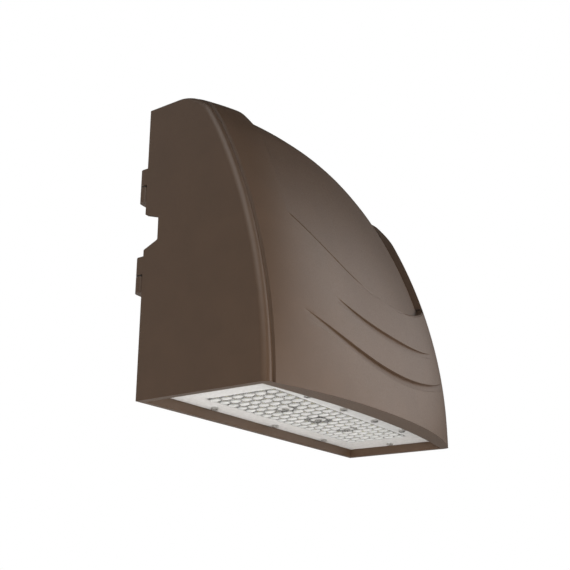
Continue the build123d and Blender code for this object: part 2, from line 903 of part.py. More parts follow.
with BuildPart() as tray_screws:
    tray_screw_length = tray_thickness + tray_pad_depth - tray_screw_end - screw_end_gap
    tray_screw = screw_from_wall(
        tray_head_radius, tray_head, tray_screw_radius, tray_screw_length, gear_socket
    )
    with Locations(*[Location((x, tray_y, z), (180, 0, 0)) for x, z in tray_screw_spots]):
        add(tray_screw)

tray_screws.part.label = "tray_screws"
export_step(tray_screws.part, "parts/tray_screws.step")

with BuildPart() as driver_case:
    with BuildSketch(facing_wall(tray_front_y)):
        with Locations((driver_low_x + driver_length / 2, driver_z)):
            RectangleRounded(driver_length - 2 * end_cap, driver_height, 3)
    extrude(amount=driver_depth)
    fillet(driver_case.faces().sort_by(Axis.Y)[0].edges(), 1.5)
    with BuildSketch(facing_wall(tray_front_y)):
        with Locations((driver_low_x + driver_length / 2, driver_z)):
            Rectangle(driver_length + 2 * driver_ear, driver_ear_height)
        with Locations(*driver_screw_spots):
            Circle(gear_screw_radius + hole_gap, mode=Mode.SUBTRACT)
    extrude(amount=driver_ear_thickness)

driver_case.part.label = "driver_case"
export_step(driver_case.part, "parts/driver_case.step")

with BuildPart() as driver_end_caps:
    for cap_x in (driver_low_x, driver_high_x - end_cap):
        with Locations((cap_x, tray_front_y - driver_ear_thickness - seat_gap, driver_z)):
            Box(
                end_cap,
                driver_depth - driver_ear_thickness - seat_gap,
                driver_height,
                align=(Align.MIN, Align.MAX, Align.CENTER),
            )
    with Locations(Location((0, driver_axis_y, driver_z), (0, 90, 0))):
        Cylinder(lead_radius + fit_gap, 4 * driver_length, mode=Mode.SUBTRACT)

driver_end_caps.part.label = "driver_end_caps"
export_step(driver_end_caps.part, "parts/driver_end_caps.step")


def gear_screws(spots, seat_y):
    """Screws through the tray, heads on a seat and tips just past the tray's back."""
    one = screw_from_wall(
        gear_head_radius, gear_head, gear_screw_radius, tray_y - seat_y + gear_screw_end, gear_socket
    )
    with BuildPart() as screws:
        with Locations(*[(x, seat_y, z) for x, z in spots]):
            add(one)
    return screws.part


with BuildPart() as driver_screws:
    add(gear_screws(driver_screw_spots, tray_front_y - driver_ear_thickness))

driver_screws.part.label = "driver_screws"
export_step(driver_screws.part, "parts/driver_screws.step")

with BuildPart() as surge_protector:
    with Locations((surge_x, tray_front_y, surge_z)):
        Box(*surge_size, align=(Align.CENTER, Align.MAX, Align.CENTER))
    fillet(surge_protector.faces().sort_by(Axis.Y)[0].edges(), 2)
    with BuildSketch(facing_wall(tray_front_y)):
        with Locations((surge_x, surge_z)):
            RectangleRounded(surge_size[0] + 2 * surge_ear, surge_size[2] / 2, 4)
        with Locations(*surge_screw_spots):
            Circle(gear_screw_radius + hole_gap, mode=Mode.SUBTRACT)
    extrude(amount=surge_ear_thickness)

surge_protector.part.label = "surge_protector"
export_step(surge_protector.part, "parts/surge_protector.step")

with BuildPart() as surge_screws:
    add(gear_screws(surge_screw_spots, tray_front_y - surge_ear_thickness))

surge_screws.part.label = "surge_screws"
export_step(surge_screws.part, "parts/surge_screws.step")

with BuildPart() as tray_grommet:
    with Locations(Location((grommet_x, tray_y, grommet_z), (90, 0, 0))):
        Cylinder(grommet_hole - seat_gap, grommet_length)
        with Locations((0, 0, tray_thickness + seat_gap), (0, 0, -seat_gap - grommet_flange)):
            Cylinder(
                grommet_hole + grommet_flange,
                grommet_flange,
                align=(Align.CENTER, Align.CENTER, Align.MIN),
            )
        Cylinder(lead_radius + seat_gap, 4 * grommet_length, mode=Mode.SUBTRACT)

tray_grommet.part.label = "tray_grommet"
export_step(tray_grommet.part, "parts/tray_grommet.step")

with BuildPart() as quick_connector:
    with Locations((grommet_x, connector_front_y, grommet_z)):
        Box(*connector_size, align=(Align.CENTER, Align.MIN, Align.CENTER))
    fillet(quick_connector.edges().filter_by(Axis.Y), 2)
    with BuildSketch(facing_wall(connector_front_y + connector_size[1])):
        with Locations((grommet_x, grommet_z)):
            with GridLocations(connector_size[0] / 2, 0, 2, 1):
                Rectangle(connector_size[0] / 3, connector_size[2] / 2)
    extrude(amount=connector_size[1] * 0.6, mode=Mode.SUBTRACT)

quick_connector.part.label = "quick_connector"
export_step(quick_connector.part, "parts/quick_connector.step")


def lead(name, points):
    """A round lead along straight runs joined by the largest tangent arcs that fit."""
    runs = [(Vector(*b) - Vector(*a)).length for a, b in zip(points, points[1:])]
    radii = []
    for i in range(1, len(points) - 1):
        before = Vector(*points[i]) - Vector(*points[i - 1])
        after = Vector(*points[i + 1]) - Vector(*points[i])
        half_turn = before.get_angle(after) * pi / 360
        radii.append(0.45 * min(runs[i - 1], runs[i]) / tan(half_turn))
    print(name, "arc radii", [round(radius, 1) for radius in radii])
    start = Vector(*points[0])
    with BuildPart() as tube:
        with BuildLine() as route:
            FilletPolyline(*points, radius=radii)
        with BuildSketch(Plane(origin=start, z_dir=Vector(*points[1]) - start)):
            Circle(lead_radius)
        sweep(path=route.wires()[0])
    print(name, "volume", tube.part.volume, pi * lead_radius**2 * route.wires()[0].length)
    return tube.part


with BuildPart() as driver_output_lead:
    add(
        lead(
            "output lead",
            [
                (window_x, window_y, connector_top + rim_z),
                (window_x, window_y, rim_z + 44),
                (window_x + 0.5, window_y + 4, rim_z + 68),
                (window_x + 4, window_y + 16, rim_z + 90),
                (window_x + 14, window_y + 30, rim_z + 105),
                (driver_low_x - 16, driver_axis_y, driver_z),
                (driver_low_x + 1, driver_axis_y, driver_z),
            ],
        )
    )

driver_output_lead.part.label = "driver_output_lead"
export_step(driver_output_lead.part, "parts/driver_output_lead.step")

with BuildPart() as driver_input_lead:
    add(
        lead(
            "input lead",
            [
                (driver_high_x - 1, driver_axis_y, driver_z),
                (driver_high_x + 18, driver_axis_y, driver_z),
                (driver_high_x + 36, driver_axis_y - 2, driver_z + 8),
                (grommet_x - 6, driver_axis_y - 2, grommet_z - 8),
                (grommet_x, driver_axis_y + 9, grommet_z),
                (grommet_x, connector_front_y, grommet_z),
            ],
        )
    )

driver_input_lead.part.label = "driver_input_lead"
export_step(driver_input_lead.part, "parts/driver_input_lead.step")
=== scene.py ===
"""Wall pack light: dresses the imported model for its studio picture.

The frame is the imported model's own: metres, +X right, +Z up, the light's front towards -Y, wall at Y = 0.
Each operator makes one piece, or one group of like finishes, and the stage has its own.
"""

import math

import bmesh
import bpy
import numpy as np
from bpy.props import FloatProperty, FloatVectorProperty, IntProperty, PointerProperty
from bpy.types import Operator, Panel, PropertyGroup
from mathutils import Matrix, Vector


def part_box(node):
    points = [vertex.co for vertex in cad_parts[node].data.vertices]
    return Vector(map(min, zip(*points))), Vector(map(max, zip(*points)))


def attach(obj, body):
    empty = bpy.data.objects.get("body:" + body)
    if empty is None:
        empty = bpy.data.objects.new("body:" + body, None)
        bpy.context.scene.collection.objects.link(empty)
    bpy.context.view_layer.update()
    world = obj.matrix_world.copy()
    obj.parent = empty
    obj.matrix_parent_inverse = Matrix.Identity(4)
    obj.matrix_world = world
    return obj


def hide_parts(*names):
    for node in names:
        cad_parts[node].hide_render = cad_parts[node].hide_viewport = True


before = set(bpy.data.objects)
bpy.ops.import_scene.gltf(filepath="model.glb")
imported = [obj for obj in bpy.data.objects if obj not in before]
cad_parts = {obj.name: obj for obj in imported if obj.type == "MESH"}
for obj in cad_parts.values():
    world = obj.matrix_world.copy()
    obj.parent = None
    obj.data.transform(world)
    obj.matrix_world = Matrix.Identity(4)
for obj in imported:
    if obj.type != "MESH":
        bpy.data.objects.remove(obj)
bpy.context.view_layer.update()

bl_info = {
    "name": "Wall pack light",
    "version": (1, 0, 0),
    "blender": (4, 5, 0),
    "location": "3D View > Sidebar > Wall Pack",
    "description": "Builds the casting, optics, finishes and studio of a wall pack light",
    "category": "Object",
}

HOUSING_LOW, HOUSING_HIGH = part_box("housing")
RIM_Z = HOUSING_LOW.z
MM = 0.001
# A hair's breadth, for telling faces on one plane from their neighbours
HAIR = 2e-5
ACRYLIC_IOR = 1.49
# Edges that turn more than this, in degrees, stay sharp
SHARP_CASTING, SHARP_LENSES = 30, 60


# ------------------------------------------------------------------ sizes and colours
class WallPackHousing(PropertyGroup):
    """Sizes of the cast housing's outer skin."""

    width: FloatProperty(
        name="Width",
        description="Width over the two side panels",
        default=HOUSING_HIGH.x - HOUSING_LOW.x,
        unit="LENGTH",
    )
    side_height: FloatProperty(
        name="Side height",
        description="Height of the side panels, from rim to top",
        default=0.251,
        unit="LENGTH",
    )
    side_depth: FloatProperty(
        name="Side depth",
        description="Depth of the side panels at the rim",
        default=0.1135,
        unit="LENGTH",
    )
    crown: FloatProperty(
        name="Crown",
        description="How far the middle stands out past the side panels",
        default=0.0245,
        unit="LENGTH",
    )
    front_radius: FloatProperty(
        name="Front radius",
        description="Radius of the front's side view",
        default=0.537,
        unit="LENGTH",
    )
    nose_radius: FloatProperty(
        name="Nose radius",
        description="Radius between front and top along the side panels",
        default=0.034,
        unit="LENGTH",
    )
    field_nose_radius: FloatProperty(
        name="Field nose radius",
        description="Radius between front and top across the recessed field",
        default=0.055,
        unit="LENGTH",
    )
    back_gap: FloatProperty(
        name="Back gap",
        description="From the wall to the housing's back edge",
        default=0.009,
        unit="LENGTH",
    )
    shoulder_lift: FloatProperty(
        name="Shoulder lift",
        description="How far the shoulders stand above the recessed field",
        default=0.0072,
        unit="LENGTH",
    )
    rim_lift: FloatProperty(
        name="Rim lift",
        description="The same at the rim",
        default=0.001,
        unit="LENGTH",
    )
    lift_height: FloatProperty(
        name="Lift height",
        description="How quickly the lift grows up from the rim",
        default=0.045,
        unit="LENGTH",
    )
    fade_start: FloatProperty(
        name="Fade start",
        description="The lift fades out from this far below the nose's start, along the curve",
        default=0.030,
        unit="LENGTH",
    )
    fade_end: FloatProperty(
        name="Fade end",
        description="And is gone this far past it",
        default=0.028,
        unit="LENGTH",
    )
    edge_radius: FloatProperty(
        name="Edge radius",
        description="Radius of the bead along each side panel",
        default=0.006,
        unit="LENGTH",
    )
    groove_depth: FloatProperty(
        name="Groove depth",
        description="Depth of the groove between bead and front",
        default=0.0017,
        unit="LENGTH",
    )
    low_crescent_depth: FloatProperty(
        name="Low crescent depth",
        description="Deepest part of the low crescent",
        default=0.0027,
        unit="LENGTH",
    )
    middle_crescent_depth: FloatProperty(
        name="Middle crescent depth",
        description="Deepest part of the middle crescent",
        default=0.0021,
        unit="LENGTH",
    )


class WallPackOptics(PropertyGroup):
    """Sizes of the lenses in the optic panel."""

    columns: IntProperty(name="Columns", description="Lenses across", default=20, min=1)
    rows: IntProperty(name="Rows", description="Lenses from front to back", default=6, min=1)
    pitch_x: FloatProperty(
        name="Pitch across",
        description="Distance between lenses across the panel",
        default=0.0126,
        unit="LENGTH",
    )
    pitch_y: FloatProperty(
        name="Pitch in depth",
        description="Distance between lenses from front to back",
        default=0.0105,
        unit="LENGTH",
    )
    middle_depth: FloatProperty(
        name="Middle depth",
        description="Middle of the lens field, from the housing's back edge",
        default=0.057,
        unit="LENGTH",
    )
    screw_pitch: FloatProperty(
        name="Screw pitch",
        description="Distance between the screws in the middle of the field",
        default=0.057,
        unit="LENGTH",
    )
    length: FloatProperty(
        name="Lens length", description="Length of one lens", default=0.0104, unit="LENGTH"
    )
    breadth: FloatProperty(
        name="Lens breadth", description="Breadth of one lens", default=0.0062, unit="LENGTH"
    )
    height: FloatProperty(
        name="Lens height", description="How far a lens stands out", default=0.0019, unit="LENGTH"
    )


class WallPackColours(PropertyGroup):
    """Base colours of the finishes."""

    bronze: FloatVectorProperty(
        name="Bronze coat",
        description="Powder coat of the castings",
        default=(0.071, 0.042, 0.025),
        size=3,
        subtype="COLOR",
        min=0,
        max=1,
    )
    steel: FloatVectorProperty(
        name="Steel",
        description="Stainless screws and pins",
        default=(0.60, 0.59, 0.57),
        size=3,
        subtype="COLOR",
        min=0,
        max=1,
    )
    board: FloatVectorProperty(
        name="Board",
        description="White mask of the light board",
        default=(0.80, 0.79, 0.76),
        size=3,
        subtype="COLOR",
        min=0,
        max=1,
    )
    phosphor: FloatVectorProperty(
        name="Phosphor",
        description="Light sources when switched off",
        default=(0.72, 0.62, 0.16),
        size=3,
        subtype="COLOR",
        min=0,
        max=1,
    )


# ------------------------------------------------------------------ node helpers
def fresh_material(name):
    """A node material with an empty tree and its output and shader joined up."""
    material = bpy.data.materials.new(name)
    material.use_nodes = True
    tree = material.node_tree
    tree.nodes.clear()
    output = tree.nodes.new("ShaderNodeOutputMaterial")
    shader = tree.nodes.new("ShaderNodeBsdfPrincipled")
    output.location, shader.location = (600, 0), (300, 0)
    tree.links.new(shader.outputs["BSDF"], output.inputs["Surface"])
    return material, tree, shader


def add_node(tree, kind, at, **settings):
    """A node of a kind at a place in the tree, with plain values set by socket or property name."""
    node = tree.nodes.new(kind)
    node.location = at
    for key, value in settings.items():
        if key in node.inputs:
            node.inputs[key].default_value = value
        else:
            setattr(node, key, value)
    return node


def object_noise(tree, at, scale, detail, roughness=0.55, stretch=(1, 1, 1)):
    """A noise texture's factor in object coordinates; scale is in cells per metre."""
    place = add_node(tree, "ShaderNodeTexCoord", (at[0] - 400, at[1]))
    mapping = add_node(tree, "ShaderNodeMapping", (at[0] - 200, at[1]))
    mapping.inputs["Scale"].default_value = stretch
    noise = add_node(tree, "ShaderNodeTexNoise", at, Scale=scale, Detail=detail, Roughness=roughness)
    tree.links.new(place.outputs["Object"], mapping.inputs["Vector"])
    tree.links.new(mapping.outputs["Vector"], noise.inputs["Vector"])
    return noise.outputs["Fac"]


def remap(tree, at, source, span, result, **settings):
    """A socket's value mapped from one span to another."""
    node = add_node(tree, "ShaderNodeMapRange", at, **settings)
    for name, value in zip(("From Min", "From Max", "To Min", "To Max"), (*span, *result)):
        node.inputs[name].default_value = value
    tree.links.new(source, node.inputs["Value"])
    return node.outputs["Result"]


def arithmetic(tree, at, operation, first, second):
    """Two sockets, or a socket and a plain value, joined by a math node."""
    node = add_node(tree, "ShaderNodeMath", at, operation=operation)
    for socket, source in zip(node.inputs, (first, second)):
        if isinstance(source, bpy.types.NodeSocket):
            tree.links.new(source, socket)
        else:
            socket.default_value = source
    return node.outputs[0]


def two_tone(tree, at, source, shader, dark, light):
    """Base colour that runs between two (position, colour) stops along a socket's value."""
    node = add_node(tree, "ShaderNodeValToRGB", at)
    for element, (position, colour) in zip(node.color_ramp.elements, (dark, light)):
        element.position = position
        element.color = (*colour, 1)
    tree.links.new(source, node.inputs["Fac"])
    tree.links.new(node.outputs["Color"], shader.inputs["Base Color"])


def roughness_from(tree, at, source, shader, low, high):
    """Roughness between two values, from a socket's middle range."""
    result = remap(tree, at, source, (0.3, 0.7), (low, high))
    tree.links.new(result, shader.inputs["Roughness"])


def bump_from(tree, at, heights, strength, distance, normal=None):
    """The normal of a bump over a height socket, on top of another normal where one is given."""
    node = add_node(tree, "ShaderNodeBump", at, Strength=strength, Distance=distance)
    tree.links.new(heights, node.inputs["Height"])
    if normal is not None:
        tree.links.new(normal, node.inputs["Normal"])
    return node.outputs["Normal"]


def soft_edges(tree, at, radius):
    """The normal of a bevel node that rounds the shading of edges."""
    node = add_node(tree, "ShaderNodeBevel", at, Radius=radius)
    node.samples = 6
    return node.outputs["Normal"]


def tinted(colour, factor):
    """A colour made lighter or darker."""
    return tuple(min(1.0, channel * factor) for channel in colour)


# ------------------------------------------------------------------ finishes
def powder_coat(name, colour, edge=0.0007):
    """Satin powder coat: fine orange peel over slow waves, with slight mottling."""
    material, tree, shader = fresh_material(name)
    mottle = object_noise(tree, (-500, 300), 38, 4)
    two_tone(tree, (-250, 300), mottle, shader, (0.3, tinted(colour, 0.94)), (0.7, tinted(colour, 1.06)))
    grain = object_noise(tree, (-500, 0), 900, 2, 0.5)
    roughness_from(tree, (-250, 0), grain, shader, 0.40, 0.50)
    rounding = soft_edges(tree, (-250, -200), edge)
    peel = bump_from(tree, (0, -250), grain, 0.22, 0.00012, rounding)
    slow = object_noise(tree, (-500, -500), 160, 2, 0.5)
    waves = bump_from(tree, (150, -300), slow, 0.10, 0.0002, peel)
    tree.links.new(waves, shader.inputs["Normal"])
    shader.inputs["IOR"].default_value = 1.5
    return material


def brushed_metal(name, colour, roughness=0.3, stretch=(1, 1, 14)):
    """Plain or plated metal with fine drawn lines."""
    material, tree, shader = fresh_material(name)
    lines = object_noise(tree, (-500, 100), 260, 3, 0.6, stretch)
    two_tone(tree, (-250, 250), lines, shader, (0.25, tinted(colour, 0.82)), (0.75, tinted(colour, 1.08)))
    roughness_from(tree, (-250, 0), lines, shader, roughness - 0.06, roughness + 0.08)
    rounding = soft_edges(tree, (-250, -200), 0.0003)
    scratch = bump_from(tree, (0, -200), lines, 0.12, 0.0001, rounding)
    tree.links.new(scratch, shader.inputs["Normal"])
    shader.inputs["Metallic"].default_value = 1.0
    return material


def galvanised(name, colour):
    """Galvanised sheet with its flat crystal flakes."""
    material, tree, shader = fresh_material(name)
    place = add_node(tree, "ShaderNodeTexCoord", (-900, 100))
    flakes = add_node(tree, "ShaderNodeTexVoronoi", (-650, 100), Scale=95.0)
    tree.links.new(place.outputs["Object"], flakes.inputs["Vector"])
    shade = add_node(tree, "ShaderNodeRGBToBW", (-450, 100))
    tree.links.new(flakes.outputs["Color"], shade.inputs["Color"])
    shade = shade.outputs["Val"]
    two_tone(tree, (-250, 250), shade, shader, (0.2, tinted(colour, 0.80)), (0.8, tinted(colour, 1.05)))
    roughness_from(tree, (-250, 0), shade, shader, 0.34, 0.5)
    rounding = soft_edges(tree, (-250, -200), 0.0004)
    tree.links.new(rounding, shader.inputs["Normal"])
    shader.inputs["Metallic"].default_value = 0.9
    return material


def moulded_plastic(name, colour, roughness=0.45):
    """Moulded plastic with a fine spark texture and slow colour drift."""
    material, tree, shader = fresh_material(name)
    drift = object_noise(tree, (-500, 250), 55, 3)
    two_tone(tree, (-250, 250), drift, shader, (0.3, tinted(colour, 0.92)), (0.7, tinted(colour, 1.06)))
    spark = object_noise(tree, (-500, 0), 1500, 2)
    roughness_from(tree, (-250, 0), spark, shader, roughness - 0.05, roughness + 0.08)
    rounding = soft_edges(tree, (-250, -200), 0.0005)
    texture = bump_from(tree, (0, -200), spark, 0.15, 0.00008, rounding)
    tree.links.new(texture, shader.inputs["Normal"])
    return material


def soft_rubber(name, colour, roughness=0.7):
    """Silicone or rubber: matt, with a dusty bloom."""
    material, tree, shader = fresh_material(name)
    bloom = object_noise(tree, (-500, 250), 140, 4, 0.65)
    two_tone(tree, (-250, 250), bloom, shader, (0.3, tinted(colour, 0.85)), (0.75, tinted(colour, 1.25)))
    roughness_from(tree, (-250, 0), bloom, shader, roughness - 0.06, roughness + 0.1)
    fine = object_noise(tree, (-500, -200), 1200, 2)
    skin = bump_from(tree, (0, -200), fine, 0.2, 0.0001)
    tree.links.new(skin, shader.inputs["Normal"])
    return material


def board_mask(name, colour):
    """White solder mask with faint copper areas showing through."""
    material, tree, shader = fresh_material(name)
    place = add_node(tree, "ShaderNodeTexCoord", (-900, 200))
    areas = add_node(tree, "ShaderNodeTexVoronoi", (-650, 200), Scale=70.0, distance="CHEBYCHEV")
    areas.feature = "DISTANCE_TO_EDGE"
    tree.links.new(place.outputs["Object"], areas.inputs["Vector"])
    edges = areas.outputs["Distance"]
    two_tone(tree, (-300, 200), edges, shader, (0.02, tinted(colour, 0.86)), (0.06, colour))
    grain = object_noise(tree, (-500, -50), 800, 2)
    roughness_from(tree, (-250, -50), grain, shader, 0.32, 0.42)
    return material


def frosted_border(name, colour, half_x, low_y, high_y, spots):
    """Clear acrylic over the lens field, frosted white on its border and at the spots."""
    fade = 1.2 * MM
    spot_full, spot_end = 6.2 * MM, 7.2 * MM
    least_clear = 0.12
    material, tree, shader = fresh_material(name)
    place = add_node(tree, "ShaderNodeTexCoord", (-1300, 0))
    split = add_node(tree, "ShaderNodeSeparateXYZ", (-1100, 0))
    tree.links.new(place.outputs["Object"], split.inputs["Vector"])
    clear_parts = []
    for axis, middle, half in (("X", 0, half_x), ("Y", (low_y + high_y) / 2, (high_y - low_y) / 2)):
        away = arithmetic(tree, (-900, 0), "SUBTRACT", split.outputs[axis], middle)
        away = arithmetic(tree, (-750, 0), "ABSOLUTE", away, 0)
        clear_parts.append(remap(tree, (-600, 0), away, (half, half + fade), (1, 0)))
    for spot in spots:
        away = add_node(tree, "ShaderNodeVectorMath", (-750, -300), operation="DISTANCE")
        away.inputs[1].default_value = spot
        tree.links.new(place.outputs["Object"], away.inputs[0])
        away = away.outputs["Value"]
        clear_parts.append(remap(tree, (-600, -300), away, (spot_full, spot_end), (0, 1)))
    inside = clear_parts[0]
    for part in clear_parts[1:]:
        inside = arithmetic(tree, (-400, 0), "MULTIPLY", inside, part)
    clearness = remap(tree, (-200, -100), inside, (0, 1), (least_clear, 1))
    tree.links.new(clearness, shader.inputs["Transmission Weight"])
    grain = object_noise(tree, (-500, 300), 420, 3)
    roughness_from(tree, (-250, 150), grain, shader, 0.12, 0.26)
    two_tone(tree, (-250, 350), grain, shader, (0.3, tinted(colour, 0.96)), (0.7, tinted(colour, 1.03)))
    shader.inputs["IOR"].default_value = ACRYLIC_IOR
    return material


def clear_acrylic(name):
    """Clear moulded acrylic with a faint haze, for the lenses."""
    material, tree, shader = fresh_material(name)
    haze = object_noise(tree, (-500, 100), 300, 3)
    roughness_from(tree, (-250, 0), haze, shader, 0.05, 0.12)
    two_tone(tree, (-250, 250), haze, shader, (0.3, (0.93, 0.94, 0.93)), (0.7, (0.98, 0.98, 0.97)))
    shader.inputs["IOR"].default_value = ACRYLIC_IOR
    shader.inputs["Transmission Weight"].default_value = 0.6
    return material


# ------------------------------------------------------------------ mesh helpers
def only(piece):
    """Makes a piece the one selected and active object."""
    bpy.ops.object.select_all(action="DESELECT")
    piece.select_set(True)
    bpy.context.view_layer.objects.active = piece


def smooth_by_angle(piece, degrees):
    """Smooth shading, kept sharp across edges over an angle."""
    only(piece)
    bpy.ops.object.shade_smooth_by_angle(angle=math.radians(degrees))


def coat(piece, material):
    """Gives a piece its one material."""
    piece.data.materials.clear()
    piece.data.materials.append(material)


def give(material, *node_names):
    """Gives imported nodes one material."""
    for name in node_names:
        coat(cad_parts[name], material)


def merged_copy(node_name, name):
    """A copy of a CAD node's mesh as a new object, with its doubled corners merged."""
    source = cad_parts[node_name]
    mesh = source.data.copy()
    mesh.name = name
    piece = bpy.data.objects.new(name, mesh)
    bpy.context.scene.collection.objects.link(piece)
    work = bmesh.new()
    work.from_mesh(mesh)
    bmesh.ops.remove_doubles(work, verts=work.verts, dist=2e-6)
    bmesh.ops.dissolve_degenerate(work, edges=work.edges, dist=1e-6)
    work.to_mesh(mesh)
    work.free()
    if mesh.has_custom_normals:
        only(piece)
        bpy.ops.mesh.customdata_custom_splitnormals_clear()
    return piece


# ------------------------------------------------------------------ the casting's outer skin
class Skin:
    """The outer skin as a grid of points, its rows along the lines that the casting shows."""

    FIELD_CORNER_X = 0.1405
    FIELD_TOP_X = 0.136
    FIELD_CORNER_HEIGHT = 0.141
    FIELD_TOP_HEIGHT = 0.217
    # The field sinks this much from the middle out to this far, and its wall is this wide
    FIELD_SINK, SINK_REACH = 0.0004, 0.06
    STEP = 0.0007
    # The crease starts this far from the middle, grows over this run and ends over this one at the corner
    CREASE_DEPTH = 0.0006
    CREASE_START, CREASE_GROWTH, CREASE_END = 0.015, 0.05, 0.004

    # Rows below, between and above the crescents, then up to the nose, over it and back along the top
    RIM_ROWS, BAND_ROWS, SMILE_ROWS = 14, 10, 12
    UPPER_ROWS, NOSE_ROWS, TOP_ROWS = 40, 20, 12
    # Even columns over this share of the field, then the points of its wall, in millimetres past its edge
    FIELD_COLUMNS, FIELD_SHARE = 46, 0.992
    WALL = (-1.1, -0.6, -0.35, -0.12, 0.12, 0.35, 0.6, 1.0, 1.7)
    SHOULDER_COLUMNS = 14

    # Across a crescent, from its lower line up to its sharp upper edge: (share of its height, depth)
    LOW_CRESCENT = (
        (0, 0), (0.04, 0.16), (0.1, 0.2), (0.2, 0.26), (0.35, 0.36), (0.5, 0.48), (0.65, 0.62),
        (0.78, 0.78), (0.86, 0.9), (0.9, 0.97), (0.93, 1.0), (0.985, 0.12),
    )
    MIDDLE_CRESCENT = (
        (0, 0), (0.05, 0.42), (0.1, 0.5), (0.2, 0.52), (0.35, 0.56), (0.5, 0.62), (0.65, 0.72),
        (0.78, 0.84), (0.86, 0.94), (0.9, 1.0), (0.93, 1.0), (0.985, 0.12),
    )
    # Up across the smile line, with the crease cut below it: (height past the line in millimetres, depth)
    CREASE = (
        (-3.0, 0), (-2.0, 0), (-1.55, 1), (-0.95, 1), (-0.5, 0), (-0.35, 0), (-0.12, 0), (0.12, 0),
        (0.35, 0), (0.6, 0), (1.2, 0), (2.2, 0),
    )
    # Along the shoulder through the groove to the bead's foot: (millimetres, share of the groove's depth)
    GROOVE = (
        (0.0, 0.0), (0.05, 0.0), (0.15, 0.3), (0.35, 0.85), (0.5, 1.0), (1.3, 1.0), (1.8, 0.85),
        (2.4, 0.55), (3.2, 0.36), (4.4, 0.25),
    )
    # The bead follows the rows as they run here, and loses this share of its radius over the nose
    BEAD_X = 0.17
    BEAD_POINTS = 9
    BEAD_LOSS = 0.75
    FLAT_START, FLAT_RUN = 0.012, 0.026
    # It ends this far inside the side panel, and this far below the bead's round
    TUCK_IN, TUCK_DOWN = 5e-5, 0.0016

    # Each line across the front: height in the middle, rise at its reach, reach, power
    LOW_TOP = (0.0382, 0.0208, 0.1406, 2.05)
    LOW_BOTTOM = (0.0304, 0.0073, 0.078, 1.9)
    MIDDLE_TOP = (0.0720, 0.0052, 0.089, 3.0)
    MIDDLE_BOTTOM = (0.0645, 0.0055, 0.075, 2.2)
    SMILE = (0.1056, 0.0354, 0.1405, 2.4)
    THINNEST_CRESCENT = 0.0012
    LOW_REACH, MIDDLE_REACH = 0.142, 0.100

    def __init__(self, sizes):
        self.s = sizes
        self.half = sizes.width / 2
        self.crown_radius = (self.half**2 + sizes.crown**2) / (2 * sizes.crown)

    def crown_at(self, x):
        """How far a plain arc across the width stands out at x."""
        return np.sqrt(self.crown_radius**2 - x**2) - (self.crown_radius - self.s.crown)

    def fullness(self, x):
        """The lift's share at x: none in the middle and at the side panels."""
        corner = self.FIELD_CORNER_X
        full = self.s.crown * (1 - (x / self.half) ** 4) - self.crown_at(x)
        return full / (self.s.crown * (1 - (corner / self.half) ** 4) - self.crown_at(corner))

    def lift(self, x, height, past):
        """How far the skin stands out past the plain arc, at a length past the nose's start."""
        s = self.s
        growth = s.shoulder_lift - (s.shoulder_lift - s.rim_lift) * np.exp(-height / s.lift_height)
        faded = np.clip((past + s.fade_start) / (s.fade_start + s.fade_end), 0, 1)
        return growth * (1 - faded * faded * (3 - 2 * faded)) * self.fullness(x)

    def step_x(self, height):
        """The field's edge at a height."""
        rise = self.FIELD_TOP_HEIGHT - self.FIELD_CORNER_HEIGHT
        share = np.clip((height - self.FIELD_CORNER_HEIGHT) / rise, 0, 1)
        return self.FIELD_CORNER_X + (self.FIELD_TOP_X - self.FIELD_CORNER_X) * share

    @staticmethod
    def curve(x, middle, rise, reach, power):
        """Height of a line across the front that rises to both sides."""
        return middle + rise * (np.abs(x) / reach) ** power

    def lines(self, x):
        """Heights at x of the low crescent, the middle crescent and the smile line."""
        low_top, middle_top = self.curve(x, *self.LOW_TOP), self.curve(x, *self.MIDDLE_TOP)
        low_bottom = np.minimum(self.curve(x, *self.LOW_BOTTOM), low_top - self.THINNEST_CRESCENT)
        middle_bottom = np.minimum(self.curve(x, *self.MIDDLE_BOTTOM), middle_top - self.THINNEST_CRESCENT)
        return low_bottom, low_top, middle_bottom, middle_top, self.curve(x, *self.SMILE)

    @staticmethod
    def depth_share(x, reach):
        """How deep a crescent is at x, as a share of its deepest part."""
        return np.clip(1 - (np.abs(x) / reach) ** 2.2, 0, 1) ** 0.8

    def nose(self, x, radius):
        """Centre (depth, height) and start angle of a nose of this radius at x, and the front's centre."""
        s = self.s
        bulge = self.crown_at(x)
        front = s.side_depth + bulge - s.front_radius
        height = s.side_height + bulge - radius
        depth = front + np.sqrt((s.front_radius - radius) ** 2 - height**2)
        return depth, height, np.arctan2(height, depth - front), front

    def front_rows(self, x):
        """Heights and cuts at x of the rows from the rim up past the smile line."""
        low_bottom, low_top, middle_bottom, middle_top, smile = self.lines(x)
        low_depth = self.s.low_crescent_depth * self.depth_share(x, self.LOW_REACH)
        middle_depth = self.s.middle_crescent_depth * self.depth_share(x, self.MIDDLE_REACH)
        crease_depth = self.CREASE_DEPTH * np.clip((np.abs(x) - self.CREASE_START) / self.CREASE_GROWTH, 0, 1)
        crease_depth = crease_depth * np.clip((self.FIELD_CORNER_X - np.abs(x)) / self.CREASE_END, 0, 1)
        rows = [(low_bottom * i / self.RIM_ROWS, 0 * x) for i in range(self.RIM_ROWS)]
        for share, cut in self.LOW_CRESCENT:
            rows.append((low_bottom + (low_top - low_bottom) * share, -low_depth * cut))
        band = middle_bottom - low_top
        rows += [(low_top + band * i / self.BAND_ROWS, 0 * x) for i in range(self.BAND_ROWS)]
        for share, cut in self.MIDDLE_CRESCENT:
            rows.append((middle_bottom + (middle_top - middle_bottom) * share, -middle_depth * cut))
        band = smile + self.CREASE[0][0] * MM - middle_top
        rows += [(middle_top + band * i / self.SMILE_ROWS, 0 * x) for i in range(self.SMILE_ROWS)]
        for offset, cut in self.CREASE:
            rows.append((smile + offset * MM, -crease_depth * cut))
        return rows

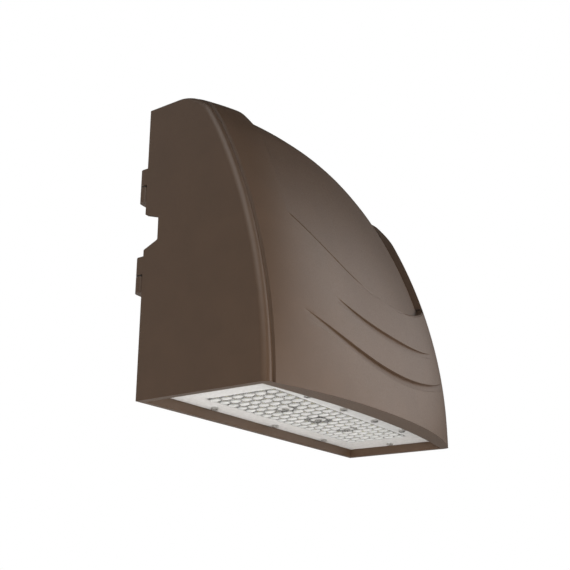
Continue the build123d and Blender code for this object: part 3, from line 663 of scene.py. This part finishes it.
    def row(self, j, x):
        """Row j at x: centre (depth, height), angle, radius, cut, length past the nose's start, height."""
        s = self.s
        nose_depth, nose_height, nose_angle, front = self.nose(x, s.nose_radius)
        start = s.front_radius * np.sin(nose_angle)
        rows = self.front_rows(x)
        k = j - len(rows)
        if k < self.UPPER_ROWS:
            low = rows[-1][0]
            height = rows[j][0] if k < 0 else low + (start - low) * (k + 1) / self.UPPER_ROWS
            cut = rows[j][1] if k < 0 else 0 * x
            angle = np.arcsin(height / s.front_radius)
            past = s.front_radius * (angle - nose_angle)
            return front, 0 * x, angle, s.front_radius, cut, past, height
        k -= self.UPPER_ROWS
        if k < self.NOSE_ROWS:
            angle = nose_angle + (np.pi / 2 - nose_angle) * (k + 1) / self.NOSE_ROWS
            past = s.nose_radius * (angle - nose_angle)
            return nose_depth, nose_height, angle, s.nose_radius, 0 * x, past, start
        k -= self.NOSE_ROWS
        depth = nose_depth * (1 - (k + 1) / self.TOP_ROWS)
        return depth, nose_height, np.pi / 2 + 0 * x, s.nose_radius, 0 * x, 1 + 0 * x, start

    def field_out(self, x, depth, height, angle, radius):
        """How far the field's own curve lies outside the shoulders' curve, along a row's direction."""
        s = self.s
        nose_depth, nose_height, nose_angle, front = self.nose(x, s.field_nose_radius)
        across, up = np.cos(angle), np.sin(angle)

        def reach(centre_depth, centre_height, size):
            away, above = depth - centre_depth, height - centre_height
            along = away * across + above * up
            return -along + np.sqrt(np.maximum(along**2 - away**2 - above**2 + size**2, 0))

        over_nose = reach(nose_depth, nose_height, s.field_nose_radius)
        turned = np.arctan2(height + over_nose * up - nose_height, depth + over_nose * across - nose_depth)
        over_top = (nose_height + s.field_nose_radius - height) / np.maximum(up, 1e-6)
        over_front = reach(front, 0, s.front_radius)
        out = np.where(turned > np.pi / 2, over_top, over_nose)
        on_front = np.where(radius == s.front_radius, angle, turned) < nose_angle
        return np.where(on_front, over_front, out) - radius

    def field_share(self, x, height, smile):
        """1 inside the recessed field and 0 outside it, with a steep wall between."""
        inside = np.clip(0.5 - (np.abs(x) - self.step_x(height)) / self.STEP, 0, 1)
        above = np.clip(0.5 + (height - smile) / self.STEP, 0, 1)
        inside, above = (share * share * (3 - 2 * share) for share in (inside, above))
        return inside * above

    def columns(self, height):
        """The grid's x places from the middle over the field's edge, at one height on the front."""
        edge = float(self.step_x(height))
        places = [edge * self.FIELD_SHARE * i / self.FIELD_COLUMNS for i in range(self.FIELD_COLUMNS)]
        return places + [edge + offset * MM for offset in self.WALL]

    def bead(self, height, past):
        """The plan curve through the groove and over the bead to the side panel: (x, out) pairs."""
        s = self.s
        flat = min(1, max(0, (past - self.FLAT_START) / self.FLAT_RUN))
        radius = s.edge_radius * (1 - self.BEAD_LOSS * flat * flat * (3 - 2 * flat))

        def total(x):
            return float(self.crown_at(x) + self.lift(x, height, past))

        turn = 0.4
        for _ in range(4):
            start = self.half - radius * (1 - math.sin(turn))
            turn = math.atan((total(start - 1e-5) - total(start + 1e-5)) / 2e-5)
        groove_width, foot = self.GROOVE[-1]
        edge = start - groove_width * MM
        points = []
        for offset, cut in self.GROOVE:
            x = edge + offset * MM
            points.append((x, total(x) - s.groove_depth * cut - self.crown_at(x)))
        base = total(start) - s.groove_depth * foot - radius * math.cos(turn)
        for i in range(1, self.BEAD_POINTS + 1):
            angle = turn + (math.pi / 2 - turn) * i / self.BEAD_POINTS
            x = self.half - radius + radius * math.sin(angle)
            points.append((x, base + radius * math.cos(angle) - self.crown_at(x)))
        points.append((self.half - self.TUCK_IN, -s.edge_radius - self.TUCK_DOWN))
        return points

    def grid(self):
        """All points, rows by columns, from one side panel to the other."""
        count = len(self.front_rows(np.array([0.0]))) + self.UPPER_ROWS + self.NOSE_ROWS + self.TOP_ROWS
        rows = []
        for j in range(count):
            edge = np.array([self.FIELD_CORNER_X])
            for _ in range(3):
                height = self.row(j, edge)[6]
                edge = self.step_x(height)
            side = self.row(j, np.array([self.BEAD_X]))
            inner = self.columns(height[0])
            bead = self.bead(side[6][0], side[5][0])
            start, run = inner[-1], bead[0][0] - inner[-1]
            inner += [start + run * i / self.SHOULDER_COLUMNS for i in range(1, self.SHOULDER_COLUMNS)]
            inner = np.array(inner)
            depth, up, angle, radius, cut, past, height = self.row(j, inner)
            share = self.field_share(inner, height, self.lines(inner)[4])
            sink = self.FIELD_SINK * np.clip(np.abs(inner) / self.SINK_REACH, 0, 1) ** 2
            recessed = self.field_out(inner, depth, up, angle, radius) - sink
            out = self.lift(inner, height, past) * (1 - share) + recessed * share + cut
            outer = np.array([point[0] for point in bead])
            x = np.concatenate([inner, outer])
            out = np.concatenate([out, [point[1] for point in bead]])
            depth, up, angle, radius, cut, past, height = self.row(j, x)
            points = np.stack(
                [
                    x,
                    -self.s.back_gap - depth - (radius + out) * np.cos(angle),
                    up + (radius + out) * np.sin(angle) + RIM_Z,
                ],
                -1,
            )
            mirrored = points[:0:-1] * np.array([-1, 1, 1])
            rows.append(np.concatenate([mirrored, points]))
        return np.array(rows)


def skin_offset(skin, points):
    """How far points stand outside the plain arc skin, as a rough distance along its normal."""
    s = skin.s
    x = np.clip(points[:, 0], -skin.half, skin.half)
    depth = -s.back_gap - points[:, 1]
    height = points[:, 2] - RIM_Z
    bulge = skin.crown_at(x)
    centre = s.side_depth + bulge - s.front_radius
    nose_height = s.side_height + bulge - s.nose_radius
    nose_depth = centre + np.sqrt((s.front_radius - s.nose_radius) ** 2 - nose_height**2)
    front = np.hypot(depth - centre, height) - s.front_radius
    nose = np.hypot(depth - nose_depth, height - nose_height) - s.nose_radius
    top = height - nose_height - s.nose_radius
    slope = np.arctan2(nose_height, nose_depth - centre)
    on_front = np.arctan2(height, depth - centre) < slope
    return np.where(on_front, front, np.where(depth > nose_depth, nose, top))


class WALLPACK_OT_housing(Operator):
    """Makes the cast housing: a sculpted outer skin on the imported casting's inside, edges and hinge halves"""

    bl_idname = "wallpack.housing"
    bl_label = "Housing"
    bl_options = {"REGISTER", "UNDO"}

    def execute(self, context):
        sizes = context.scene.wallpack_housing
        skin = Skin(sizes)
        piece = merged_copy("housing", "housing_casting")
        self.remove_outer_faces(piece.data, skin)

        # The skin's grid, with a narrow strip that turns in under the rim
        grid = skin.grid()
        under, inward = grid[0].copy(), grid[0].copy()
        under[:, 2] = inward[:, 2] = RIM_Z - HAIR
        inward[:, 1] += 3 * MM
        grid = np.concatenate([[inward], [under], grid])
        height, width = grid.shape[:2]
        faces = [
            (j * width + i, j * width + i + 1, (j + 1) * width + i + 1, (j + 1) * width + i)
            for j in range(height - 1)
            for i in range(width - 1)
        ]
        outer = bpy.data.meshes.new("housing_skin")
        outer.from_pydata(grid.reshape(-1, 3).tolist(), [], faces)
        outer.update()
        skin_piece = bpy.data.objects.new("housing_skin", outer)
        context.scene.collection.objects.link(skin_piece)
        only(piece)
        skin_piece.select_set(True)
        bpy.ops.object.join()
        smooth_by_angle(piece, SHARP_CASTING)
        coat(piece, powder_coat("bronze_powder_coat", context.scene.wallpack_colours.bronze, 0.00025))
        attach(piece, "door")
        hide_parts("housing")
        return {"FINISHED"}

    @staticmethod
    def remove_outer_faces(mesh, skin):
        """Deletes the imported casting's plain front, top and beads, which the sculpted skin takes over."""
        sizes = skin.s
        work = bmesh.new()
        work.from_mesh(mesh)
        work.faces.ensure_lookup_table()
        centres = np.array([face.calc_center_median() for face in work.faces])
        normals = np.array([face.normal for face in work.faces])
        offsets = skin_offset(skin, centres)
        across = np.abs(centres[:, 0])
        outward = np.sign(centres[:, 0]) * normals[:, 0]
        # Kept: the side panels, the rim's underside and the back edge
        beside = across > skin.half - HAIR
        low = centres[:, 2] < RIM_Z + HAIR
        back = (normals[:, 1] > 0.9) & (centres[:, 1] > -sizes.back_gap - HAIR)
        # Gone: the plain front and top, and the beads, whose faces lie deeper
        main = offsets > -1.5 * MM
        bead = (
            (across > skin.half - sizes.edge_radius - 0.4 * MM)
            & (offsets > -sizes.edge_radius - 0.6 * MM)
            & ((outward > 0.05) | (offsets > -3 * MM))
        )
        chosen = (main | bead) & ~beside & ~low & ~back
        gone = [work.faces[i] for i in np.nonzero(chosen)[0]]
        bmesh.ops.delete(work, geom=gone, context="FACES")
        work.to_mesh(mesh)
        work.free()


class WALLPACK_OT_optics(Operator):
    """Makes the moulded lenses that stand out of the optic panel, over the light sources"""

    bl_idname = "wallpack.optics"
    bl_label = "Optics"
    bl_options = {"REGISTER", "UNDO"}

    # How far a lens reaches into the panel, and the room from its middle to the nearest screw
    SUNK, SCREW_ROOM = 0.0003, 0.0058
    FROST = (0.88, 0.87, 0.86)

    def execute(self, context):
        optics = context.scene.wallpack_optics
        face_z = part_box("optic_panel")[0].z
        bpy.ops.object.select_all(action="DESELECT")
        bpy.ops.mesh.primitive_uv_sphere_add(segments=16, ring_count=8, radius=0.5, location=(0, 0, 0))
        lens = context.object
        lens.name = "lens_pattern"
        lens.scale = (optics.breadth, optics.length, 2 * optics.height)
        bpy.ops.object.transform_apply(location=False, rotation=False, scale=True)
        bpy.ops.object.mode_set(mode="EDIT")
        bpy.ops.mesh.select_all(action="SELECT")
        bpy.ops.mesh.bisect(plane_co=(0, 0, self.SUNK), plane_no=(0, 0, 1), clear_outer=True, use_fill=False)
        bpy.ops.object.mode_set(mode="OBJECT")
        screw_xy = np.array([v.co.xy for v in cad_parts["optic_screws"].data.vertices])
        copies = []
        middle_y = -context.scene.wallpack_housing.back_gap - optics.middle_depth
        for column in range(optics.columns):
            for row in range(optics.rows):
                x = (column - (optics.columns - 1) / 2) * optics.pitch_x
                y = middle_y + (row - (optics.rows - 1) / 2) * optics.pitch_y
                if np.min(np.hypot(screw_xy[:, 0] - x, screw_xy[:, 1] - y)) < self.SCREW_ROOM:
                    continue
                copy = lens.copy()
                copy.data = lens.data.copy()
                copy.data.transform(Matrix.Translation((x, y, face_z)))
                context.scene.collection.objects.link(copy)
                copies.append(copy)
        bpy.ops.object.select_all(action="DESELECT")
        for copy in copies:
            copy.select_set(True)
        context.view_layer.objects.active = copies[0]
        bpy.ops.object.join()
        piece = context.object
        piece.name = "optic_lenses"
        piece.data.name = "optic_lenses"
        bpy.data.objects.remove(lens)
        smooth_by_angle(piece, SHARP_LENSES)
        coat(piece, clear_acrylic("clear_acrylic"))
        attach(piece, "door")

        reach_x = (optics.columns / 2 - 0.05) * optics.pitch_x
        reach_y = (optics.rows / 2 - 0.05) * optics.pitch_y
        low_y, high_y = middle_y - reach_y, middle_y + reach_y
        spots = [(i * optics.screw_pitch, middle_y, face_z) for i in (-1, 0, 1)]
        give(frosted_border("frosted_acrylic", self.FROST, reach_x, low_y, high_y, spots), "optic_panel")
        return {"FINISHED"}


class WALLPACK_OT_finishes(Operator):
    """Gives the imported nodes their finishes"""

    bl_idname = "wallpack.finishes"
    bl_label = "Finishes"
    bl_options = {"REGISTER", "UNDO"}

    def execute(self, context):
        colours = context.scene.wallpack_colours
        give(powder_coat("bronze_powder_coat_box", colours.bronze), "wall_box", "conduit_plugs")
        give(powder_coat("off_white_enamel", (0.72, 0.72, 0.69), 0.0006), "driver_case")
        give(galvanised("galvanised_sheet", (0.62, 0.63, 0.64)), "gear_tray")
        give(
            brushed_metal("stainless", colours.steel, 0.28),
            "hinge_pins",
            "optic_screws",
            "board_screws",
            "upper_closure_screw",
            "lower_closure_screw",
        )
        zinc = brushed_metal("zinc_plate", (0.66, 0.65, 0.60), 0.36, (1, 6, 1))
        give(zinc, "tray_screws", "driver_screws", "surge_screws")
        give(brushed_metal("plated_brass", (0.68, 0.55, 0.30)), "terminal_screws")
        give(moulded_plastic("green_lacquer", (0.03, 0.22, 0.07), 0.3), "ground_screw")
        dark = moulded_plastic("dark_plastic", (0.02, 0.02, 0.022), 0.42)
        give(dark, "driver_end_caps", "surge_protector", "terminal_block")
        nylon = moulded_plastic("natural_nylon", (0.72, 0.70, 0.62), 0.4)
        give(nylon, "board_connector", "quick_connector")
        give(moulded_plastic("black_nylon", (0.02, 0.018, 0.016), 0.5), "hinge_washers")
        give(
            soft_rubber("black_silicone", (0.018, 0.018, 0.018)),
            "box_gasket",
            "tray_grommet",
            "floor_seal",
            "driver_output_lead",
            "driver_input_lead",
        )
        give(soft_rubber("grey_silicone", (0.55, 0.55, 0.53)), "optic_gasket")
        give(soft_rubber("thermal_silicone", (0.24, 0.26, 0.28)), "thermal_pad")
        give(board_mask("white_mask", colours.board), "led_board")
        give(moulded_plastic("phosphor", colours.phosphor, 0.35), "leds")
        return {"FINISHED"}


class WALLPACK_OT_stage(Operator):
    """Sets the camera, the floor, the white surroundings and the soft lights"""

    bl_idname = "wallpack.stage"
    bl_label = "Stage"
    bl_options = {"REGISTER", "UNDO"}

    # The camera's turn about its target, its distance and its lens in millimetres
    AZIMUTH, ELEVATION, ROLL = math.radians(-59.5), math.radians(-20.7), math.radians(-0.92)
    TARGET = (-0.0139, -0.04175, 0.0012)
    SHIFT_RIGHT, SHIFT_UP = 0.00025, 0.0003
    DISTANCE = 0.7423
    LENS = 49.377

    FLOOR_Z = -1.0
    # Bright fields that glossy surfaces reflect: direction, cosines where it begins and is full, strength
    REFLECTED = (
        ((0.66, -0.70, 0.27), (0.80, 0.95), 2.0),
        ((-0.54, -0.44, 0.69), (0.80, 0.95), 2.6),
        ((-0.70, 0.55, 0.40), (0.50, 0.90), 0.5),
    )
    UNLIT = 0.015
    FILL = 0.08
    # Soft lights: name, place, aim, size, watts, seen in reflections
    LIGHTS = (
        ("key_soft", (-0.05, -0.62, -0.22), (0, -0.05, -0.03), (0.4, 0.2), 3.7, False),
        ("left_soft", (-1.35, -0.1, -0.65), (-0.15, -0.05, 0), (0.8, 0.8), 13, False),
        ("under_soft", (0, 0.12, -0.85), (0, -0.06, -0.13), (0.8, 0.5), 1.4, True),
        ("back_soft", (0.4, 1.7, 1.4), (0, 0, -0.6), (1.6, 1.0), 75, False),
    )

    def execute(self, context):
        scene = context.scene
        scene.view_settings.view_transform = "Standard"
        scene.camera = self.place_camera(scene)
        self.lay_floor()
        scene.world = self.surroundings()
        for light in self.LIGHTS:
            self.hang_light(scene, *light)
        return {"FINISHED"}

    def place_camera(self, scene):
        """The camera at the photograph's viewing angle, with its slight roll."""
        across = math.cos(self.ELEVATION)
        turned = math.sin(self.AZIMUTH) * across, -math.cos(self.AZIMUTH) * across
        back = Vector((*turned, math.sin(self.ELEVATION)))
        right = (-back).cross(Vector((0, 0, 1))).normalized()
        up = right.cross(-back)
        turned_right = right * math.cos(self.ROLL) + up * math.sin(self.ROLL)
        turned_up = up * math.cos(self.ROLL) - right * math.sin(self.ROLL)
        target = Vector(self.TARGET) + right * self.SHIFT_RIGHT + up * self.SHIFT_UP
        data = bpy.data.cameras.new("studio_camera")
        data.lens = self.LENS
        data.sensor_width = 36
        data.clip_start = 0.01
        data.clip_end = 50
        camera = bpy.data.objects.new("studio_camera", data)
        scene.collection.objects.link(camera)
        turn = Matrix((turned_right, turned_up, back)).transposed().to_4x4()
        camera.matrix_world = Matrix.Translation(target + back * self.DISTANCE) @ turn
        return camera

    def lay_floor(self):
        """A plain pale floor below the light."""
        bpy.ops.object.select_all(action="DESELECT")
        bpy.ops.mesh.primitive_plane_add(size=6, location=(0, 0, self.FLOOR_Z))
        floor = bpy.context.object
        floor.name = "studio_floor"
        material, _, shader = fresh_material("pale_floor")
        shader.inputs["Base Color"].default_value = (0.75, 0.75, 0.74, 1)
        shader.inputs["Roughness"].default_value = 0.9
        floor.data.materials.append(material)

    def surroundings(self):
        """White where it is seen, bright fields on a dim ground where it is reflected, else a dim fill."""
        world = bpy.data.worlds.new("white_studio")
        world.use_nodes = True
        tree = world.node_tree
        tree.nodes.clear()
        path = add_node(tree, "ShaderNodeLightPath", (-1100, 300))
        rays = path.outputs["Is Camera Ray"], path.outputs["Is Transmission Ray"]
        seen = arithmetic(tree, (-850, 300), "MAXIMUM", *rays)
        direction = add_node(tree, "ShaderNodeTexCoord", (-1100, 0)).outputs["Generated"]
        brightness = None
        for at, cosines, strength in self.REFLECTED:
            toward = add_node(tree, "ShaderNodeVectorMath", (-850, 0), operation="DOT_PRODUCT")
            toward.inputs[1].default_value = at
            tree.links.new(direction, toward.inputs[0])
            field = remap(
                tree,
                (-650, 0),
                toward.outputs["Value"],
                cosines,
                (self.UNLIT, strength),
                interpolation_type="SMOOTHSTEP",
            )
            if brightness is None:
                brightness = field
            else:
                brightness = arithmetic(tree, (-450, 0), "ADD", brightness, field)
        white = add_node(tree, "ShaderNodeBackground", (-200, 200), Strength=1.0, Color=(1, 1, 1, 1))
        reflected = add_node(tree, "ShaderNodeBackground", (-200, 50), Color=(1, 1, 1, 1))
        tree.links.new(brightness, reflected.inputs["Strength"])
        warm = (1, 0.98, 0.96, 1)
        fill = add_node(tree, "ShaderNodeBackground", (-200, -100), Strength=self.FILL, Color=warm)
        indirect = add_node(tree, "ShaderNodeMixShader", (50, -50))
        mix = add_node(tree, "ShaderNodeMixShader", (250, 0))
        output = add_node(tree, "ShaderNodeOutputWorld", (450, 0))
        for source, socket in (
            (path.outputs["Is Glossy Ray"], indirect.inputs[0]),
            (fill.outputs[0], indirect.inputs[1]),
            (reflected.outputs[0], indirect.inputs[2]),
            (seen, mix.inputs[0]),
            (indirect.outputs[0], mix.inputs[1]),
            (white.outputs[0], mix.inputs[2]),
            (mix.outputs[0], output.inputs["Surface"]),
        ):
            tree.links.new(source, socket)
        return world

    def hang_light(self, scene, name, place, aim, size, power, reflected):
        """A soft area light at a place, turned to its aim."""
        data = bpy.data.lights.new(name, "AREA")
        data.shape = "RECTANGLE"
        data.size, data.size_y = size
        data.energy = power
        data.color = (1, 0.985, 0.965)
        light = bpy.data.objects.new(name, data)
        light.visible_glossy = reflected
        scene.collection.objects.link(light)
        turn = (Vector(aim) - Vector(place)).to_track_quat("-Z", "Y").to_matrix().to_4x4()
        light.matrix_world = Matrix.Translation(place) @ turn


class WALLPACK_PT_panel(Panel):
    """Buttons for each piece, and the sizes and colours they use"""

    bl_idname = "WALLPACK_PT_panel"
    bl_label = "Wall pack light"
    bl_space_type = "VIEW_3D"
    bl_region_type = "UI"
    bl_category = "Wall Pack"

    def draw(self, context):
        layout = self.layout
        for group, _ in GROUPS:
            settings = getattr(context.scene, group)
            box = layout.box()
            for name in settings.__annotations__:
                box.prop(settings, name)
        for operator in OPERATORS:
            layout.operator(operator.bl_idname)


OPERATORS = (WALLPACK_OT_stage, WALLPACK_OT_housing, WALLPACK_OT_optics, WALLPACK_OT_finishes)
GROUPS = (
    ("wallpack_housing", WallPackHousing),
    ("wallpack_optics", WallPackOptics),
    ("wallpack_colours", WallPackColours),
)


def register():
    for _, group in GROUPS:
        bpy.utils.register_class(group)
    for operator in OPERATORS:
        bpy.utils.register_class(operator)
    bpy.utils.register_class(WALLPACK_PT_panel)
    for name, group in GROUPS:
        setattr(bpy.types.Scene, name, PointerProperty(type=group))


def unregister():
    for name, _ in reversed(GROUPS):
        delattr(bpy.types.Scene, name)
    bpy.utils.unregister_class(WALLPACK_PT_panel)
    for operator in reversed(OPERATORS):
        bpy.utils.unregister_class(operator)
    for _, group in reversed(GROUPS):
        bpy.utils.unregister_class(group)


def main():
    """Registers the add-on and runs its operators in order."""
    register()
    bpy.ops.wallpack.stage()
    bpy.ops.wallpack.housing()
    bpy.ops.wallpack.optics()
    bpy.ops.wallpack.finishes()
    bpy.context.view_layer.update()
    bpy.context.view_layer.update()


if __name__ == "__main__":
    main()
